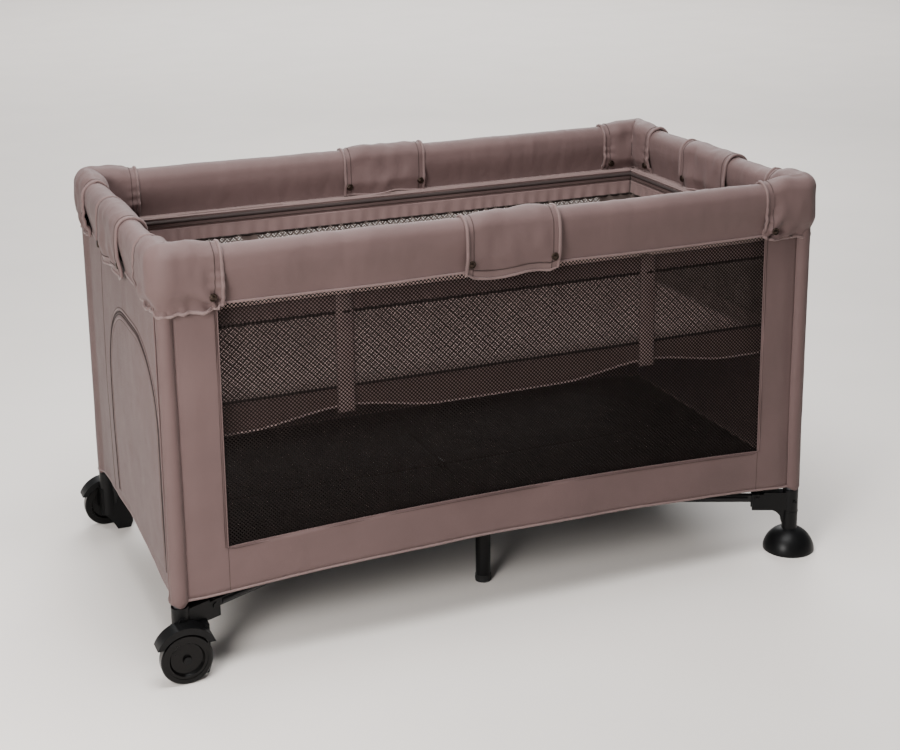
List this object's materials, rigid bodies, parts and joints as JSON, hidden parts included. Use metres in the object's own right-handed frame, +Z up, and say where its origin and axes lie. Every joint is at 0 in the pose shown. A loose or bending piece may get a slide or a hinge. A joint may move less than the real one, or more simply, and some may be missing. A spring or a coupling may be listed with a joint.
{
  "type": "playpen",
  "caption": "Folding playpen with padded top rails, mesh windows, an inner bassinet level, a zipped end door, hub-and-arm base, two wheels and dome feet.",
  "frame": {"origin": "centre of the outer box on the floor", "axes": "+X along the long rails towards the dome feet, -X to the wheels, -Y to the front, +Z up"},
  "size_m": [1.298, 0.728, 0.748],
  "materials": {
    "leg_steel": "satin",
    "black_plastic": "satin",
    "wheel_plastic": "gloss",
    "arm_steel": "satin",
    "foot_rubber": "matte",
    "rail_steel": "satin",
    "button_plastic": "satin",
    "mauve_fabric": "satin",
    "floor_fabric": "matte",
    "mattress_fabric": "matte"
  },
  "bodies": {
    "leg_front_left": {"leg_tube_front_left": "leg_steel", "top_corner_front_left": "black_plastic", "wheel_bracket_front": "black_plastic", "corner_cover_front_left": "mauve_fabric", "wall_front": "mauve_fabric", "wall_left": "mauve_fabric", "bassinet": "mauve_fabric"},
    "leg_front_right": {"leg_tube_front_right": "leg_steel", "top_corner_front_right": "black_plastic", "dome_foot_front": "black_plastic", "corner_cover_front_right": "mauve_fabric", "wall_right": "mauve_fabric"},
    "leg_back_left": {"leg_tube_back_left": "leg_steel", "top_corner_back_left": "black_plastic", "wheel_bracket_back": "black_plastic", "corner_cover_back_left": "mauve_fabric", "wall_back": "mauve_fabric"},
    "leg_back_right": {"leg_tube_back_right": "leg_steel", "top_corner_back_right": "black_plastic", "dome_foot_back": "black_plastic", "corner_cover_back_right": "mauve_fabric"},
    "arm_front_left": {"arm_front_left": "arm_steel"},
    "arm_front_right": {"arm_front_right": "arm_steel"},
    "arm_back_left": {"arm_back_left": "arm_steel"},
    "arm_back_right": {"arm_back_right": "arm_steel"},
    "hub": {"hub": "black_plastic", "hub_foot_tips": "foot_rubber", "floor_panel": "floor_fabric"},
    "rail_front_left": {"rail_front_left": "rail_steel", "rail_cover_front_left": "mauve_fabric"},
    "rail_front_right": {"rail_front_right": "rail_steel", "rail_cover_front_right": "mauve_fabric"},
    "rail_back_left": {"rail_back_left": "rail_steel", "rail_cover_back_left": "mauve_fabric"},
    "rail_back_right": {"rail_back_right": "rail_steel", "rail_cover_back_right": "mauve_fabric"},
    "rail_left_front": {"rail_left_front": "rail_steel", "rail_cover_left_front": "mauve_fabric"},
    "rail_left_back": {"rail_left_back": "rail_steel", "rail_cover_left_back": "mauve_fabric"},
    "rail_right_front": {"rail_right_front": "rail_steel", "rail_cover_right_front": "mauve_fabric"},
    "rail_right_back": {"rail_right_back": "rail_steel", "rail_cover_right_back": "mauve_fabric"},
    "latch_front": {"latch_front": "black_plastic", "latch_sleeve_front": "mauve_fabric"},
    "latch_button_front": {"latch_button_front": "button_plastic"},
    "latch_back": {"latch_back": "black_plastic", "latch_sleeve_back": "mauve_fabric"},
    "latch_button_back": {"latch_button_back": "button_plastic"},
    "latch_left": {"latch_left": "black_plastic", "latch_sleeve_left": "mauve_fabric"},
    "latch_button_left": {"latch_button_left": "button_plastic"},
    "latch_right": {"latch_right": "black_plastic", "latch_sleeve_right": "mauve_fabric"},
    "latch_button_right": {"latch_button_right": "button_plastic"},
    "wheel_front": {"wheel_front": "wheel_plastic"},
    "wheel_back": {"wheel_back": "wheel_plastic"},
    "door": {"door_flap": "mauve_fabric"},
    "mattress": {"mattress": "mattress_fabric"}
  },
  "joints": [
    {"name": "fold", "type": "hinge", "parent": "leg_front_left", "child": "arm_front_left", "pos_m": [-0.54, -0.29, 0.105], "axis": [0.4036, -0.9149, 0], "range_deg": [0, 84], "deforming": ["corner_cover_front_left", "wall_front", "wall_left", "bassinet", "corner_cover_front_right", "wall_right", "corner_cover_back_left", "wall_back", "corner_cover_back_right", "floor_panel", "rail_cover_front_left", "rail_cover_front_right", "rail_cover_back_left", "rail_cover_back_right", "rail_cover_left_front", "rail_cover_left_back", "rail_cover_right_front", "rail_cover_right_back", "latch_sleeve_front", "latch_sleeve_back", "latch_sleeve_left", "latch_sleeve_right", "door_flap", "mattress"]},
    {"name": "hub_pivot", "type": "hinge", "parent": "arm_front_left", "child": "hub", "pos_m": [-0.03, -0.065, 0.105], "axis": [0.4036, -0.9149, 0], "range_deg": [-84, 0]},
    {"name": "arm_pivot_front_right", "type": "hinge", "parent": "hub", "child": "arm_front_right", "pos_m": [0.03, -0.065, 0.105], "axis": [0.4036, 0.9149, 0], "range_deg": [0, 84]},
    {"name": "leg_pivot_front_right", "type": "hinge", "parent": "arm_front_right", "child": "leg_front_right", "pos_m": [0.54, -0.29, 0.105], "axis": [0.4036, 0.9149, 0], "range_deg": [-84, 0]},
    {"name": "arm_pivot_back_left", "type": "hinge", "parent": "hub", "child": "arm_back_left", "pos_m": [-0.03, 0.065, 0.105], "axis": [-0.4036, -0.9149, 0], "range_deg": [0, 84]},
    {"name": "leg_pivot_back_left", "type": "hinge", "parent": "arm_back_left", "child": "leg_back_left", "pos_m": [-0.54, 0.29, 0.105], "axis": [-0.4036, -0.9149, 0], "range_deg": [-84, 0]},
    {"name": "arm_pivot_back_right", "type": "hinge", "parent": "hub", "child": "arm_back_right", "pos_m": [0.03, 0.065, 0.105], "axis": [-0.4036, 0.9149, 0], "range_deg": [0, 84]},
    {"name": "leg_pivot_back_right", "type": "hinge", "parent": "arm_back_right", "child": "leg_back_right", "pos_m": [0.54, 0.29, 0.105], "axis": [-0.4036, 0.9149, 0], "range_deg": [-84, 0]},
    {"name": "rail_pivot_front_left", "type": "hinge", "parent": "leg_front_left", "child": "rail_front_left", "pos_m": [-0.555, -0.315, 0.717], "axis": [0, 1, 0], "range_deg": [0, 84]},
    {"name": "rail_pivot_left_front", "type": "hinge", "parent": "leg_front_left", "child": "rail_left_front", "pos_m": [-0.6, -0.27, 0.717], "axis": [-1, 0, 0], "range_deg": [0, 84]},
    {"name": "rail_pivot_front_right", "type": "hinge", "parent": "leg_front_right", "child": "rail_front_right", "pos_m": [0.555, -0.315, 0.717], "axis": [0, -1, 0], "range_deg": [0, 84]},
    {"name": "rail_pivot_right_front", "type": "hinge", "parent": "leg_front_right", "child": "rail_right_front", "pos_m": [0.6, -0.27, 0.717], "axis": [-1, 0, 0], "range_deg": [0, 84]},
    {"name": "rail_pivot_back_left", "type": "hinge", "parent": "leg_back_left", "child": "rail_back_left", "pos_m": [-0.555, 0.315, 0.717], "axis": [0, 1, 0], "range_deg": [0, 84]},
    {"name": "rail_pivot_left_back", "type": "hinge", "parent": "leg_back_left", "child": "rail_left_back", "pos_m": [-0.6, 0.27, 0.717], "axis": [1, 0, 0], "range_deg": [0, 84]},
    {"name": "rail_pivot_back_right", "type": "hinge", "parent": "leg_back_right", "child": "rail_back_right", "pos_m": [0.555, 0.315, 0.717], "axis": [0, -1, 0], "range_deg": [0, 84]},
    {"name": "rail_pivot_right_back", "type": "hinge", "parent": "leg_back_right", "child": "rail_right_back", "pos_m": [0.6, 0.27, 0.717], "axis": [1, 0, 0], "range_deg": [0, 84]},
    {"name": "latch_pivot_front", "type": "hinge", "parent": "rail_front_left", "child": "latch_front", "pos_m": [-0.045, -0.315, 0.717], "axis": [0, 1, 0], "range_deg": [-84, 0]},
    {"name": "latch_pivot_back", "type": "hinge", "parent": "rail_back_left", "child": "latch_back", "pos_m": [-0.045, 0.315, 0.717], "axis": [0, 1, 0], "range_deg": [-84, 0]},
    {"name": "latch_pivot_left", "type": "hinge", "parent": "rail_left_front", "child": "latch_left", "pos_m": [-0.6, -0.045, 0.717], "axis": [-1, 0, 0], "range_deg": [-84, 0]},
    {"name": "latch_pivot_right", "type": "hinge", "parent": "rail_right_front", "child": "latch_right", "pos_m": [0.6, -0.045, 0.717], "axis": [-1, 0, 0], "range_deg": [-84, 0]},
    {"name": "mattress_lift", "type": "slide", "parent": "hub", "child": "mattress", "axis": [0, 0, 1], "range_m": [-0.21, 0]},
    {"name": "button_press_front", "type": "slide", "parent": "latch_front", "child": "latch_button_front", "axis": [0, 0, 1], "range_m": [0, 0.006], "stiffness_N_per_m": 300, "springref_m": -0.003},
    {"name": "button_press_back", "type": "slide", "parent": "latch_back", "child": "latch_button_back", "axis": [0, 0, 1], "range_m": [0, 0.006], "stiffness_N_per_m": 300, "springref_m": -0.003},
    {"name": "button_press_left", "type": "slide", "parent": "latch_left", "child": "latch_button_left", "axis": [0, 0, 1], "range_m": [0, 0.006], "stiffness_N_per_m": 300, "springref_m": -0.003},
    {"name": "button_press_right", "type": "slide", "parent": "latch_right", "child": "latch_button_right", "axis": [0, 0, 1], "range_m": [0, 0.006], "stiffness_N_per_m": 300, "springref_m": -0.003},
    {"name": "wheel_spin_front", "type": "hinge", "parent": "leg_front_left", "child": "wheel_front", "pos_m": [-0.6, -0.344, 0.044], "axis": [0, 1, 0], "continuous": true},
    {"name": "wheel_spin_back", "type": "hinge", "parent": "leg_back_left", "child": "wheel_back", "pos_m": [-0.6, 0.344, 0.044], "axis": [0, 1, 0], "continuous": true},
    {"name": "door_open", "type": "hinge", "parent": "leg_front_left", "child": "door", "pos_m": [-0.6095, 0, 0.168], "axis": [0, -1, 0], "range_deg": [0, 110]}
  ],
  "couplings": [
    {"joint": "hub_pivot", "follows": "fold", "ratio": -1},
    {"joint": "arm_pivot_front_right", "follows": "fold", "ratio": 1},
    {"joint": "leg_pivot_front_right", "follows": "fold", "ratio": -1},
    {"joint": "arm_pivot_back_left", "follows": "fold", "ratio": 1},
    {"joint": "leg_pivot_back_left", "follows": "fold", "ratio": -1},
    {"joint": "arm_pivot_back_right", "follows": "fold", "ratio": 1},
    {"joint": "leg_pivot_back_right", "follows": "fold", "ratio": -1},
    {"joint": "rail_pivot_front_left", "follows": "fold", "ratio": 1},
    {"joint": "rail_pivot_left_front", "follows": "fold", "ratio": 1},
    {"joint": "rail_pivot_front_right", "follows": "fold", "ratio": 1},
    {"joint": "rail_pivot_right_front", "follows": "fold", "ratio": 1},
    {"joint": "rail_pivot_back_left", "follows": "fold", "ratio": 1},
    {"joint": "rail_pivot_left_back", "follows": "fold", "ratio": 1},
    {"joint": "rail_pivot_back_right", "follows": "fold", "ratio": 1},
    {"joint": "rail_pivot_right_back", "follows": "fold", "ratio": 1},
    {"joint": "latch_pivot_front", "follows": "fold", "ratio": -1},
    {"joint": "latch_pivot_back", "follows": "fold", "ratio": -1},
    {"joint": "latch_pivot_left", "follows": "fold", "ratio": -1},
    {"joint": "latch_pivot_right", "follows": "fold", "ratio": -1},
    {"joint": "mattress_lift", "follows": "fold", "m_per_rad": -0.137}
  ]
}
